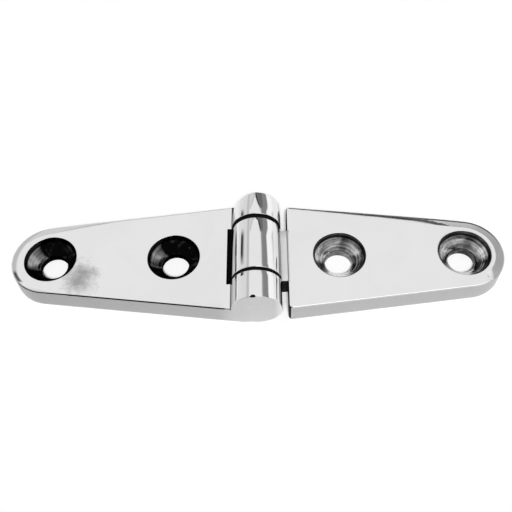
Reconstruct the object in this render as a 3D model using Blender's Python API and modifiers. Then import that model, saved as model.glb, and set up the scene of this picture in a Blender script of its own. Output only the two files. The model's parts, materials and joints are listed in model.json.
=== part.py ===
"""Cast strap hinge: two tapered leaves with countersunk holes, joined by a pin through three knuckles.

Metres, +Z up. The origin lies on the underside, below the hinge axis. +X runs along the right leaf and
+Y along the pin, towards the end from which the pin goes in. Both leaves lie flat, opened out.
"""

import math

import bmesh
import bpy
from mathutils import Matrix

MM = 0.001

# Leaves, seen from above
HALF_LENGTH = 52.0 * MM
TIP_RADIUS = 8.3 * MM
ROOT_HALF_WIDTH = 12.8 * MM
ROOT_X = 6.5 * MM
ROOT_CORNER_RADIUS = 0.5 * MM
LEAF_THICKNESS = 4.9 * MM
EDGE_CHAMFER = 0.25 * MM

# Barrel
BARREL_RADIUS = 5.2 * MM
BARREL_HALF_LENGTH = 13.2 * MM
AXIS_HEIGHT = BARREL_RADIUS
MIDDLE_KNUCKLE_HALF = 6.3 * MM
KNUCKLE_GAP = 0.65 * MM
KNUCKLE_EDGE = 0.5 * MM
RECESS_RADIUS = 6.27 * MM

# Web between the middle knuckle and the right leaf
WEB_BOTTOM = 0.2 * MM
WEB_TOP_AT_LEAF = 4.6 * MM
WEB_TOP_AT_KNUCKLE = 4.0 * MM
WEB_KNUCKLE_X = 3.0 * MM
WEB_OVERLAP = 1.5 * MM

# Pin and washers
PIN_RADIUS = 2.5 * MM
PIN_CHAMFER = 0.3 * MM
PRESSED_CLEARANCE = 0.04 * MM
RUNNING_CLEARANCE = 0.06 * MM
PIN_FAR_END = 13.1 * MM
PIN_NEAR_END = -11.4 * MM
BLIND_HOLE_END = -11.8 * MM
WASHER_THICKNESS = 0.5 * MM
WASHER_RADIUS = 4.7 * MM
WASHER_BORE_RADIUS = 2.6 * MM

# Screw holes, countersunk at 90 degrees from the top face
INNER_HOLE_X = 17.5 * MM
OUTER_HOLE_X = HALF_LENGTH - TIP_RADIUS
SINK_RADIUS = 5.45 * MM
SINK_LIP = 0.8 * MM
HOLE_RADIUS = 2.9 * MM

# Fineness of round stretches
ROUND_STEPS = 64
HOLE_STEPS = 48
TIP_STEPS = 24
CORNER_STEPS = 4
CUTTER_OVERRUN = 1.0 * MM
FLAT_ANGLE = math.radians(0.1)
SHARP_ANGLE = math.radians(35)
CHAMFER_ANGLE = math.radians(60)
MERGE = 1e-7

ALONG_Y = Matrix.Rotation(math.radians(90), 4, "X")


def clear_scene():
    for obj in list(bpy.data.objects):
        bpy.data.objects.remove(obj, do_unlink=True)


def new_collection(name):
    collection = bpy.data.collections.new(name)
    bpy.context.scene.collection.children.link(collection)
    return collection


def material(name, color, metallic, roughness):
    made = bpy.data.materials.new(name)
    made.use_nodes = True
    shader = made.node_tree.nodes["Principled BSDF"]
    shader.inputs["Base Color"].default_value = (*color, 1.0)
    shader.inputs["Metallic"].default_value = metallic
    shader.inputs["Roughness"].default_value = roughness
    return made


def arc(centre, radius, start, end, steps):
    """Points along an arc, from one angle to the other, in radians."""
    angles = [start + (end - start) * i / steps for i in range(steps + 1)]
    return [(centre[0] + radius * math.cos(a), centre[1] + radius * math.sin(a)) for a in angles]


def extruded(name, outline, half_thickness, collection):
    """A flat outline extruded both ways along its normal, as a mesh whose caps are one face each."""
    curve = bpy.data.curves.new(name + "_outline", "CURVE")
    curve.dimensions = "2D"
    curve.fill_mode = "BOTH"
    curve.extrude = half_thickness
    spline = curve.splines.new("POLY")
    spline.points.add(len(outline) - 1)
    for point, (u, v) in zip(spline.points, outline):
        point.co = (u, v, 0.0, 1.0)
    spline.use_cyclic_u = True
    source = bpy.data.objects.new(name + "_source", curve)
    collection.objects.link(source)
    graph = bpy.context.evaluated_depsgraph_get()
    mesh = bpy.data.meshes.new_from_object(source.evaluated_get(graph))
    bpy.data.objects.remove(source, do_unlink=True)
    welded = bmesh.new()
    welded.from_mesh(mesh)
    bmesh.ops.remove_doubles(welded, verts=welded.verts, dist=MERGE)
    bmesh.ops.dissolve_limit(welded, angle_limit=FLAT_ANGLE, verts=welded.verts, edges=welded.edges)
    bmesh.ops.recalc_face_normals(welded, faces=welded.faces)
    welded.to_mesh(mesh)
    welded.free()
    obj = bpy.data.objects.new(name, mesh)
    collection.objects.link(obj)
    return obj


def turned(name, profile, steps, collection):
    """A solid of revolution about its own Z. The profile lists (radius, z) down its outer side."""
    mesh = bpy.data.meshes.new(name)
    edges = [(i, i + 1) for i in range(len(profile) - 1)]
    mesh.from_pydata([(r, 0.0, z) for r, z in profile], edges, [])
    obj = bpy.data.objects.new(name, mesh)
    collection.objects.link(obj)
    screw = obj.modifiers.new("turn", "SCREW")
    screw.axis = "Z"
    screw.angle = math.tau
    screw.steps = steps
    screw.render_steps = steps
    screw.use_merge_vertices = True
    screw.merge_threshold = MERGE
    screw.use_smooth_shade = False
    return obj


def rod_profile(radius, length, chamfer):
    """The outer side of a chamfered rod centred on the origin, from the top centre to the bottom centre."""
    half = length / 2
    return [
        (0.0, half),
        (radius - chamfer, half),
        (radius, half - chamfer),
        (radius, chamfer - half),
        (radius - chamfer, -half),
        (0.0, -half),
    ]


def plain_rod(name, radius, y_from, y_to, collection):
    """A cylinder along Y on the hinge axis."""
    half = abs(y_to - y_from) / 2
    profile = [(0.0, half), (radius, half), (radius, -half), (0.0, -half)]
    rod = turned(name, profile, ROUND_STEPS, collection)
    rod.matrix_world = Matrix.Translation((0.0, (y_from + y_to) / 2, AXIS_HEIGHT)) @ ALONG_Y
    return rod


def boolean(obj, operation, *others):
    for other in others:
        modifier = obj.modifiers.new(other.name, "BOOLEAN")
        modifier.operation = operation
        modifier.solver = "EXACT"
        modifier.object = other


def as_cutter(obj):
    obj.hide_render = True
    obj.display_type = "WIRE"
    return obj


def chamfer_edges(obj):
    bevel = obj.modifiers.new("edges", "BEVEL")
    bevel.width = EDGE_CHAMFER
    bevel.segments = 1
    bevel.limit_method = "ANGLE"
    bevel.angle_limit = CHAMFER_ANGLE
    bevel.use_clamp_overlap = False


def finish(obj, made_of):
    """Applies the modifiers, gives the object its material and shades its round faces smooth."""
    graph = bpy.context.evaluated_depsgraph_get()
    mesh = bpy.data.meshes.new_from_object(obj.evaluated_get(graph))
    mesh.name = obj.name
    obj.modifiers.clear()
    obj.data = mesh
    mesh.materials.clear()
    mesh.materials.append(made_of)
    mesh.shade_smooth()
    mesh.set_sharp_from_angle(angle=SHARP_ANGLE)


def move_origin(obj, place):
    """Puts the object's origin on a point, such as one on its joint's axis, and leaves its shape in place."""
    obj.data.transform(Matrix.Translation(place).inverted() @ obj.matrix_world)
    obj.matrix_world = Matrix.Translation(place)


def taper_angle():
    """How far each long edge leans towards the tip, so that it runs tangent into the tip's arc."""
    run = OUTER_HOLE_X - ROOT_X
    distance = math.hypot(run, ROOT_HALF_WIDTH)
    return math.asin(TIP_RADIUS / distance) - math.atan2(ROOT_HALF_WIDTH, run)


def leaf_half_width(x):
    """Half the leaf's width at a distance x from the hinge axis, on the straight stretch of its edge."""
    return ROOT_HALF_WIDTH + (x - ROOT_X) * math.tan(taper_angle())


def tip_arc():
    """The right leaf's tip, from its near edge round to its far edge."""
    quarter = math.pi / 2 + taper_angle()
    return arc((OUTER_HOLE_X, 0.0), TIP_RADIUS, -quarter, quarter, TIP_STEPS)


def right_leaf_outline():
    lean = taper_angle()
    radius = ROOT_CORNER_RADIUS
    inset_y = leaf_half_width(ROOT_X + radius) - radius / math.cos(lean)
    corner_x = ROOT_X + radius
    far_start = math.pi / 2 + lean
    far_corner = arc((corner_x, inset_y), radius, far_start, math.pi, CORNER_STEPS)
    near_corner = arc((corner_x, -inset_y), radius, math.pi, math.tau - far_start, CORNER_STEPS)
    return tip_arc() + far_corner + near_corner


def left_leaf_outline():
    """The left leaf and its knuckles from above: the edges spread until they reach the barrel's ends."""
    meet_x = ROOT_X + (BARREL_HALF_LENGTH - ROOT_HALF_WIDTH) / math.tan(taper_angle())
    end_x = -(BARREL_RADIUS + CUTTER_OVERRUN)
    half = BARREL_HALF_LENGTH
    right_hand = tip_arc() + [(meet_x, half), (end_x, half), (end_x, -half), (meet_x, -half)]
    return [(-x, y) for x, y in right_hand]


def left_side_outline():
    """The left leaf from the side, as (x, z): a flat strip that runs tangent into the knuckles' circle."""
    meet = math.pi - math.asin((LEAF_THICKNESS - AXIS_HEIGHT) / BARREL_RADIUS)
    end_x = -HALF_LENGTH - CUTTER_OVERRUN
    circle = arc((0.0, AXIS_HEIGHT), BARREL_RADIUS, -math.pi / 2, meet, ROUND_STEPS * 3 // 4)
    return [(end_x, 0.0), *circle, (end_x, LEAF_THICKNESS)]


def web_outline():
    """The web from the side, as (x, z): it falls away from the leaf's top towards the knuckle."""
    inside_x = ROOT_X + WEB_OVERLAP
    return [
        (WEB_KNUCKLE_X, WEB_BOTTOM),
        (inside_x, WEB_BOTTOM),
        (inside_x, WEB_TOP_AT_LEAF),
        (ROOT_X, WEB_TOP_AT_LEAF),
        (WEB_KNUCKLE_X, WEB_TOP_AT_KNUCKLE),
    ]


def screw_hole_cutter(name, x, cutters):
    """Chamfered rim, straight lip, 90 degree cone and through hole."""
    cone_top = LEAF_THICKNESS - SINK_LIP
    cone_bottom = cone_top - (SINK_RADIUS - HOLE_RADIUS)
    profile = [
        (0.0, LEAF_THICKNESS + CUTTER_OVERRUN),
        (SINK_RADIUS + EDGE_CHAMFER + CUTTER_OVERRUN, LEAF_THICKNESS + CUTTER_OVERRUN),
        (SINK_RADIUS, LEAF_THICKNESS - EDGE_CHAMFER),
        (SINK_RADIUS, cone_top),
        (HOLE_RADIUS, cone_bottom),
        (HOLE_RADIUS, -CUTTER_OVERRUN),
        (0.0, -CUTTER_OVERRUN),
    ]
    cutter = turned(name, profile, HOLE_STEPS, cutters)
    cutter.location.x = x
    return as_cutter(cutter)


def screw_hole_cutters(side, sign, cutters):
    places = {"inner": INNER_HOLE_X, "outer": OUTER_HOLE_X}
    return [screw_hole_cutter(f"cut_{side}_{place}", sign * x, cutters) for place, x in places.items()]


def build_left_leaf(parts, cutters, steel):
    leaf = extruded("left_leaf", left_side_outline(), BARREL_HALF_LENGTH + CUTTER_OVERRUN, parts)
    leaf.matrix_world = ALONG_Y
    plan = as_cutter(extruded("cut_left_plan", left_leaf_outline(), 4 * BARREL_RADIUS, cutters))
    recess_half = MIDDLE_KNUCKLE_HALF + KNUCKLE_GAP
    recess = as_cutter(plain_rod("cut_recess", RECESS_RADIUS, -recess_half, recess_half, cutters))
    pin_hole_radius = PIN_RADIUS + PRESSED_CLEARANCE
    pin_hole_end = BARREL_HALF_LENGTH + CUTTER_OVERRUN
    pin_hole = as_cutter(plain_rod("cut_pin_blind", pin_hole_radius, BLIND_HOLE_END, pin_hole_end, cutters))
    boolean(leaf, "INTERSECT", plan)
    chamfer_edges(leaf)
    boolean(leaf, "DIFFERENCE", recess, pin_hole, *screw_hole_cutters("left", -1, cutters))
    finish(leaf, steel)
    move_origin(leaf, (0.0, 0.0, AXIS_HEIGHT))


def build_right_leaf(parts, cutters, steel):
    leaf = extruded("right_leaf", right_leaf_outline(), LEAF_THICKNESS / 2, parts)
    leaf.location.z = LEAF_THICKNESS / 2
    web = as_cutter(extruded("join_web", web_outline(), MIDDLE_KNUCKLE_HALF - KNUCKLE_EDGE / 2, cutters))
    web.matrix_world = ALONG_Y
    knuckle_profile = rod_profile(BARREL_RADIUS, 2 * MIDDLE_KNUCKLE_HALF, KNUCKLE_EDGE)
    knuckle = as_cutter(turned("join_middle_knuckle", knuckle_profile, ROUND_STEPS, cutters))
    knuckle.matrix_world = Matrix.Translation((0.0, 0.0, AXIS_HEIGHT)) @ ALONG_Y
    pin_hole_radius = PIN_RADIUS + RUNNING_CLEARANCE
    pin_hole_half = MIDDLE_KNUCKLE_HALF + CUTTER_OVERRUN
    pin_hole = as_cutter(plain_rod("cut_pin_through", pin_hole_radius, -pin_hole_half, pin_hole_half, cutters))
    chamfer_edges(leaf)
    boolean(leaf, "UNION", web, knuckle)
    boolean(leaf, "DIFFERENCE", pin_hole, *screw_hole_cutters("right", 1, cutters))
    finish(leaf, steel)
    move_origin(leaf, (0.0, 0.0, AXIS_HEIGHT))


def build_pin(parts, steel):
    length = PIN_FAR_END - PIN_NEAR_END
    pin = turned("hinge_pin", rod_profile(PIN_RADIUS, length, PIN_CHAMFER), ROUND_STEPS, parts)
    pin.matrix_world = Matrix.Translation((0.0, PIN_NEAR_END + length / 2, AXIS_HEIGHT)) @ ALONG_Y
    finish(pin, steel)


def build_washers(parts, plastic):
    half = WASHER_THICKNESS / 2
    profile = [
        (WASHER_BORE_RADIUS, half),
        (WASHER_RADIUS, half),
        (WASHER_RADIUS, -half),
        (WASHER_BORE_RADIUS, -half),
        (WASHER_BORE_RADIUS, half),
    ]
    middle = MIDDLE_KNUCKLE_HALF + KNUCKLE_GAP / 2
    for name, y in {"washer_near": -middle, "washer_far": middle}.items():
        washer = turned(name, profile, ROUND_STEPS, parts)
        washer.matrix_world = Matrix.Translation((0.0, y, AXIS_HEIGHT)) @ ALONG_Y
        finish(washer, plastic)


def main():
    clear_scene()
    parts = new_collection("strap_hinge")
    cutters = new_collection("strap_hinge_cutters")
    cutters.hide_render = True
    leaf_steel = material("polished_cast_steel", (0.74, 0.74, 0.75), 1.0, 0.16)
    pin_steel = material("ground_pin_steel", (0.66, 0.66, 0.67), 1.0, 0.3)
    black_plastic = material("black_washer_plastic", (0.02, 0.02, 0.02), 0.0, 0.55)
    build_left_leaf(parts, cutters, leaf_steel)
    build_right_leaf(parts, cutters, leaf_steel)
    build_pin(parts, pin_steel)
    build_washers(parts, black_plastic)


main()
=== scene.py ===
"""Looks of the cast strap hinge: finely rounded, polished leaves, turned countersinks, pin and washers.

Metres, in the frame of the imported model: +X along the right leaf, +Y along the pin, +Z up.
"""

import json
import math

import bmesh
import bpy
import numpy as np
from mathutils import Matrix, Vector


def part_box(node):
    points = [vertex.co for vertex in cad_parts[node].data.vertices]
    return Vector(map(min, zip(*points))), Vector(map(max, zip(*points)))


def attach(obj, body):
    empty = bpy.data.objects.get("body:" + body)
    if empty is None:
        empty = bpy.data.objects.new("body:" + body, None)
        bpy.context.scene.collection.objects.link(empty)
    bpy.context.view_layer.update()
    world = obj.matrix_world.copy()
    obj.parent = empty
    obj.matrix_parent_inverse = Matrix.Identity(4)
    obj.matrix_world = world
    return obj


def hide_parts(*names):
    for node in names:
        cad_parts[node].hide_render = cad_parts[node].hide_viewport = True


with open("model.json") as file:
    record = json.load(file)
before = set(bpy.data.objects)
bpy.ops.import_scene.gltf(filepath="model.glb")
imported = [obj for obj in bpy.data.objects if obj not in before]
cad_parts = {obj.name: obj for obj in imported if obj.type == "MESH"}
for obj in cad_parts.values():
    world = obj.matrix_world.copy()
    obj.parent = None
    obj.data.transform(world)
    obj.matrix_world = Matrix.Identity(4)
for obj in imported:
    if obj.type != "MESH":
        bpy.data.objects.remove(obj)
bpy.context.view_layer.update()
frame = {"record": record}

MM = 0.001
TINY = 1e-7

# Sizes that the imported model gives
LEFT_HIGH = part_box("left_leaf")[1]
RIGHT_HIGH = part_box("right_leaf")[1]
PIN_LOW, PIN_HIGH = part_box("hinge_pin")
WASHER_LOW, WASHER_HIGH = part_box("washer_far")
HALF_LENGTH = RIGHT_HIGH.x
BARREL_HALF = LEFT_HIGH.y
AXIS_HEIGHT = RIGHT_HIGH.z / 2
BOX_MARGIN = 0.001 * MM
BARREL_RADIUS = AXIS_HEIGHT - BOX_MARGIN
PIN_RADIUS = PIN_HIGH.x
WASHER_RADIUS = WASHER_HIGH.x
WASHER_MIDDLE = (WASHER_LOW.y + WASHER_HIGH.y) / 2
HOLE_X = sorted(
    (opening["box_m"][0][0] + opening["box_m"][1][0]) / 2
    for opening in frame["record"]["physics"]["openings"]
    if opening["name"].startswith("right")
)

# Leaves
THICKNESS = 4.9 * MM
TIP_RADIUS = 8.3 * MM
ROOT_HALF_WIDTH = 12.8 * MM
ROOT_X = 6.5 * MM
ROOT_CORNER = 0.8 * MM
ROOT_CORNER_STEPS = 10
TIP_STEPS = 96
LEFT_EDGE_STEPS = (60, 8, 24, 8, 60)
RIGHT_EDGE_STEPS = (60, 40, 60)
EDGE_TOP = 0.28 * MM
EDGE_TOP_TURN = math.radians(84)
EDGE_BOTTOM = 0.2 * MM
WALL_TOP = THICKNESS - EDGE_TOP

# The roll-off that polishing leaves round the top: its width, its depth along the sides and at each tip, the
# turns between which it deepens round the right tip, the power by which it fades along the straight edges,
# and how straight its slope is at each tip
ROLL_WIDTH = 1.9 * MM
ROLL_DROP_SIDE = 0.05 * MM
LEFT_TIP_DROP = 0.17 * MM
RIGHT_TIP_DROP = 0.24 * MM
ROLL_START = math.radians(-59)
ROLL_FULL = math.radians(-50)
ROLL_FADE = 8
LEFT_SLOPE = 0.3
RIGHT_SLOPE = 0.9

# Holes
SINK_RADIUS = 5.45 * MM
SINK_RIM = 0.22 * MM
SINK_LIP = 0.75 * MM
CONE_EDGE_TOP = 0.08 * MM
CONE_EDGE_LOW = 0.06 * MM
HOLE_RADIUS = 2.9 * MM
HOLE_EDGE = 0.12 * MM
HOLE_STEPS = 96
CONE_TOP = THICKNESS - SINK_LIP
BORE_TOP = CONE_TOP - (SINK_RADIUS - HOLE_RADIUS)

# Barrel; turns are in degrees round its axis, from +X towards +Z
KNUCKLE_GAP_HALF = (WASHER_HIGH.y - WASHER_LOW.y) / 2 + 0.12 * MM
MIDDLE_HALF = WASHER_MIDDLE - KNUCKLE_GAP_HALF
OUTER_START = WASHER_MIDDLE + KNUCKLE_GAP_HALF
BARREL_STEPS = 256
RECESS_RADIUS = 6.27 * MM
RECESS_STEPS = 360
INNER_EDGE = 0.12 * MM
NEAR_END_EDGE = 0.1 * MM
FAR_END_EDGE = 0.5 * MM
FAR_END_SHOULDER = 2.6 * MM
FOOT_SIDE = 260
FOOT_TURNS = (270, 350)
SHOULDER_TURNS = (85, 180)
FAR_CROWN = 0.35 * MM
CROWN_TURNS = (-60, -10)
MIDDLE_FAR_EDGE = 0.3 * MM
MIDDLE_NEAR_EDGE = 0.15 * MM
MIDDLE_CROWN = 0.2 * MM
MIDDLE_CROWN_POWER = 3.5
NICK_PLACE = (-0.7 * MM, -BARREL_HALF, 2 * BARREL_RADIUS)
NICK_SIZE = (0.62 * MM, 0.5 * MM, 0.4 * MM)
NICK_STEPS = 32
WEB_FAR = MIDDLE_HALF + 0.08 * MM
WEB_NEAR = -MIDDLE_HALF
WEB_EDGE = 0.08 * MM
WEB_BOTTOM = 0.2 * MM
WEB_INNER_X = 3.0 * MM
WEB_OUTER_X = 8.0 * MM
WEB_LEAF_X = 6.95 * MM
WEB_LEAF_TOP = 4.87 * MM
WEB_KNUCKLE_X = 6.3 * MM
WEB_KNUCKLE_TOP = 4.7 * MM
WEB_STEPS = 12
BLIND_END = -11.8 * MM
BORE_CLEARANCE = 0.04 * MM
RUNNING_CLEARANCE = 0.06 * MM
BORE_STEPS = 160
OVERRUN = 1.0 * MM

# Pin and washers
PIN_NEAR_EDGE = 0.3 * MM
PIN_FAR_EDGE = 0.12 * MM
PIN_STEPS = 128
WASHER_EDGE = 0.08 * MM
WASHER_PLAY = 0.1 * MM
WASHER_STEPS = 160


# ---------------------------------------------------------------- mesh helpers


class Builder:
    """Collects points and faces, ring by ring."""

    def __init__(self):
        self.points = []
        self.faces = []

    def ring(self, points):
        start = len(self.points)
        self.points.extend(points)
        return list(range(start, start + len(points)))

    def band(self, low, high):
        """Quads between two closed rings."""
        count = len(low)
        for i in range(count):
            j = (i + 1) % count
            self.faces.append((low[i], low[j], high[j], high[i]))

    def cap(self, ring):
        self.faces.append(tuple(ring))

    def mesh(self, name):
        made = bpy.data.meshes.new(name)
        made.from_pydata(self.points, [], self.faces)
        return made


def linked(name, data):
    obj = bpy.data.objects.new(name, data)
    bpy.context.scene.collection.objects.link(obj)
    return obj


def mesh_edit(mesh, action):
    edited = bmesh.new()
    edited.from_mesh(mesh)
    action(edited)
    edited.to_mesh(mesh)
    edited.free()


def outward(edited):
    bmesh.ops.remove_doubles(edited, verts=edited.verts, dist=TINY)
    bmesh.ops.recalc_face_normals(edited, faces=edited.faces)


def arc_angles(start, end, steps):
    return [start + (end - start) * i / steps for i in range(steps + 1)]


def full_turn(steps):
    return arc_angles(0.0, math.tau, steps)[:-1]


def smooth_step(value):
    value = min(max(value, 0.0), 1.0)
    return value * value * (3 - 2 * value)


def eased(value, start, end):
    """0 up to the start, 1 from the end and a smooth rise between them."""
    return smooth_step((value - start) / (end - start))


def turned(name, profile, steps, matrix=None):
    """A closed solid of revolution about Z, from (radius, z) points down its outer side."""
    build = Builder()
    rings = []
    turn = full_turn(steps)
    for radius, z in profile:
        if radius < TINY:
            rings.append(build.ring([(0.0, 0.0, z)]))
        else:
            rings.append(build.ring([(radius * math.cos(a), radius * math.sin(a), z) for a in turn]))
    for upper, lower in zip(rings, rings[1:]):
        if len(upper) == 1:
            build.cap(lower)
        elif len(lower) == 1:
            build.cap(upper[::-1])
        else:
            build.band(lower, upper)
    if len(rings[0]) > 1 and len(rings[-1]) > 1:
        build.band(rings[0], rings[-1])
    mesh = build.mesh(name)
    mesh_edit(mesh, outward)
    if matrix:
        mesh.transform(matrix)
    return linked(name, mesh)


ALONG_Y = Matrix.Translation((0, 0, AXIS_HEIGHT)) @ Matrix.Rotation(math.radians(-90), 4, "X")


def cylinder(name, radius, low, high, steps):
    """A plain rod along the pin's axis, for cutting."""
    profile = [(0.0, high), (radius, high), (radius, low), (0.0, low)]
    return turned(name, profile, steps, ALONG_Y)


def rounded_rod_profile(radius, low, high, edge_low, edge_high, steps=8):
    """A rod from low to high along its axis, with rounded ends of their own radii."""
    profile = [(0.0, high)]
    for a in arc_angles(math.pi / 2, 0.0, steps):
        profile.append((radius - edge_high * (1 - math.cos(a)), high - edge_high * (1 - math.sin(a))))
    for a in arc_angles(0.0, math.pi / 2, steps):
        profile.append((radius - edge_low * (1 - math.cos(a)), low + edge_low * (1 - math.sin(a))))
    profile.append((0.0, low))
    return profile


def boolean(obj, other, operation):
    """Joins or cuts with another closed mesh, then removes that mesh."""
    modifier = obj.modifiers.new(operation.lower(), "BOOLEAN")
    modifier.operation = operation
    modifier.solver = "EXACT"
    modifier.object = other
    graph = bpy.context.evaluated_depsgraph_get()
    mesh = bpy.data.meshes.new_from_object(obj.evaluated_get(graph))
    obj.modifiers.clear()
    obj.data = mesh
    bpy.data.objects.remove(other, do_unlink=True)


# ---------------------------------------------------------------- leaves


class Corner:
    """A rounded convex corner of an outline, given by its arc; it can be drawn at any inset.

    A corner is no tighter than the least radius, at any inset.
    """

    LEAST = 0.03 * MM

    def __init__(self, centre, radius, start, end, steps, tip=False):
        self.centre, self.radius = Vector(centre), radius
        self.start, self.end, self.steps, self.tip = start, end, steps, tip

    def tips(self):
        """How much each point belongs to the tip, from 0 to 1; it grows over part of the tip's arc."""
        angles = arc_angles(self.start, self.end, self.steps)
        if not self.tip:
            return [0.0] * len(angles)
        return [eased(a, ROLL_START, ROLL_FULL) for a in angles]

    def points(self, inset):
        radius = max(self.radius - inset, self.LEAST)
        shift = inset - (self.radius - radius)
        first = Vector((math.cos(self.start), math.sin(self.start)))
        last = Vector((math.cos(self.end), math.sin(self.end)))
        centre = self.centre - (first + last) / (1 + first.dot(last)) * shift
        angles = arc_angles(self.start, self.end, self.steps)
        return [centre + radius * Vector((math.cos(a), math.sin(a))) for a in angles]


def inset_outline(corners, inset, edge_steps):
    """The outline's points and how much each belongs to the tip, from 0 to 1.

    edge_steps has a number for the straight edge after each corner.
    """
    points, tips = [], []
    for number, corner in enumerate(corners):
        following = corners[(number + 1) % len(corners)]
        own = corner.points(inset)
        end, start = own[-1], following.points(inset)[0]
        points.extend(own)
        own_tips = corner.tips()
        tips.extend(own_tips)
        steps = edge_steps[number]
        for i in range(1, steps):
            share = i / steps
            points.append(end.lerp(start, share))
            near = (1 - share) * own_tips[-1] + share * following.tips()[0]
            tips.append(near**ROLL_FADE)
    return points, tips


# The straight edges lean in by this angle from the root to the tip's arc
RUN = HOLE_X[1] - ROOT_X
LEAN = math.asin(TIP_RADIUS / math.hypot(RUN, ROOT_HALF_WIDTH)) - math.atan2(ROOT_HALF_WIDTH, RUN)


def half_width(x):
    return ROOT_HALF_WIDTH + (x - ROOT_X) * math.tan(LEAN)


def right_corners():
    """Counterclockwise from the near end of the tip's arc."""
    quarter = math.pi / 2 + LEAN
    inset_y = half_width(ROOT_X + ROOT_CORNER) - ROOT_CORNER / math.cos(LEAN)
    corner_x = ROOT_X + ROOT_CORNER
    return [
        Corner((HOLE_X[1], 0), TIP_RADIUS, -quarter, quarter, TIP_STEPS, tip=True),
        Corner((corner_x, inset_y), ROOT_CORNER, quarter, math.pi, ROOT_CORNER_STEPS),
        Corner((corner_x, -inset_y), ROOT_CORNER, math.pi, math.tau - quarter, ROOT_CORNER_STEPS),
    ]


def left_corners():
    """The left leaf's outline; its inner end lies inside the knuckles, under the barrel's axis."""
    quarter = math.pi / 2 + LEAN
    least = Corner.LEAST
    edge_x = -(ROOT_X + (BARREL_HALF - ROOT_HALF_WIDTH) / math.tan(LEAN))
    edge_y = BARREL_HALF - least
    return [
        Corner((-HOLE_X[1], 0), TIP_RADIUS, math.pi - quarter, math.pi + quarter, TIP_STEPS, tip=True),
        Corner((edge_x, -edge_y), least, -math.pi / 2 + LEAN, -math.pi / 2, 2),
        Corner((-2 * least, -edge_y), least, -math.pi / 2, 0.0, 2),
        Corner((-2 * least, edge_y), least, 0.0, math.pi / 2, 2),
        Corner((edge_x, edge_y), least, math.pi / 2, math.pi / 2 - LEAN, 2),
    ]


def edge_profile():
    """(inset, height, soft and straight drop shares) from the underside, round the edge, to the flat top."""
    rows = [(EDGE_BOTTOM, 0.0, 0.0, 0.0)]
    for a in arc_angles(-math.pi / 2, 0.0, 5)[1:]:
        rows.append((EDGE_BOTTOM * (1 - math.cos(a)), EDGE_BOTTOM * (1 + math.sin(a)), 0.0, 0.0))
    for share in (0.2, 0.4, 0.6, 0.8):
        rows.append((0.0, EDGE_BOTTOM + (WALL_TOP - EDGE_BOTTOM) * share, 0.0, 0.0))
    for a in arc_angles(0.0, EDGE_TOP_TURN, 7):
        rows.append((EDGE_TOP * (1 - math.cos(a)), WALL_TOP + EDGE_TOP * math.sin(a), 1.0, 1.0))
    for share in (0.12, 0.24, 0.36, 0.5, 0.64, 0.78, 0.9, 1.0):
        inset = EDGE_TOP + (ROLL_WIDTH - EDGE_TOP) * share
        rows.append((inset, THICKNESS, (1 - share) ** 2, 1 - share))
    return rows


def hole_profile():
    """(radius, height) from the flat top, over the rim and down the countersink, to the underside."""
    rows = []
    for a in arc_angles(math.pi / 2, 0.0, 6):
        radius = SINK_RADIUS + SINK_RIM * (1 - math.cos(a))
        rows.append((radius, THICKNESS - SINK_RIM * (1 - math.sin(a))))
    rows.append((SINK_RADIUS, CONE_TOP + CONE_EDGE_TOP))
    for share in (0.02, 0.25, 0.5, 0.75, 0.98):
        radius = SINK_RADIUS + (HOLE_RADIUS - SINK_RADIUS) * share
        rows.append((radius, CONE_TOP + (BORE_TOP - CONE_TOP) * share))
    rows.append((HOLE_RADIUS, BORE_TOP - CONE_EDGE_LOW))
    rows.append((HOLE_RADIUS, HOLE_EDGE))
    rows.append((HOLE_RADIUS + HOLE_EDGE, 0.0))
    return rows


def leaf_plate(name, corners, edge_steps, holes, tip_drop, tip_slope):
    """The flat leaf: rounded edges, a polished roll-off round the top and two countersunk holes."""
    build = Builder()
    rings = []
    for inset, height, soft, straight in edge_profile():
        points, tips = inset_outline(corners, inset, edge_steps)
        at_tip = (soft + (straight - soft) * tip_slope) * tip_drop
        drops = [soft * ROLL_DROP_SIDE * (1 - tip) + at_tip * tip for tip in tips]
        rings.append(build.ring([(p.x, p.y, height - drop) for p, drop in zip(points, drops)]))
    for low, high in zip(rings, rings[1:]):
        build.band(low, high)
    top_loops, bottom_loops = [rings[-1]], [rings[0]]
    turn = full_turn(HOLE_STEPS)
    for x in holes:
        hole_rings = []
        for radius, z in hole_profile():
            hole_rings.append(build.ring([(x + radius * math.cos(a), radius * math.sin(a), z) for a in turn]))
        for upper, lower in zip(hole_rings, hole_rings[1:]):
            build.band(upper, lower)
        top_loops.append(hole_rings[0])
        bottom_loops.append(hole_rings[-1])
    mesh = build.mesh(name)

    def fill(edited):
        edited.verts.ensure_lookup_table()
        for loops in (top_loops, bottom_loops):
            edges = []
            for loop in loops:
                for i, vertex in enumerate(loop):
                    pair = (edited.verts[vertex], edited.verts[loop[(i + 1) % len(loop)]])
                    edges.append(edited.edges.get(pair))
            bmesh.ops.triangle_fill(edited, use_beauty=True, use_dissolve=False, edges=edges)
        outward(edited)

    mesh_edit(mesh, fill)
    return linked(name, mesh)


# ---------------------------------------------------------------- barrel


def barrel_outline():
    """Points of the barrel's circle with their outward normals, as (x, z) pairs."""
    normals = [(math.cos(a), math.sin(a)) for a in full_turn(BARREL_STEPS)]
    return [((BARREL_RADIUS * n[0], AXIS_HEIGHT + BARREL_RADIUS * n[1]), n) for n in normals]


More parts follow.
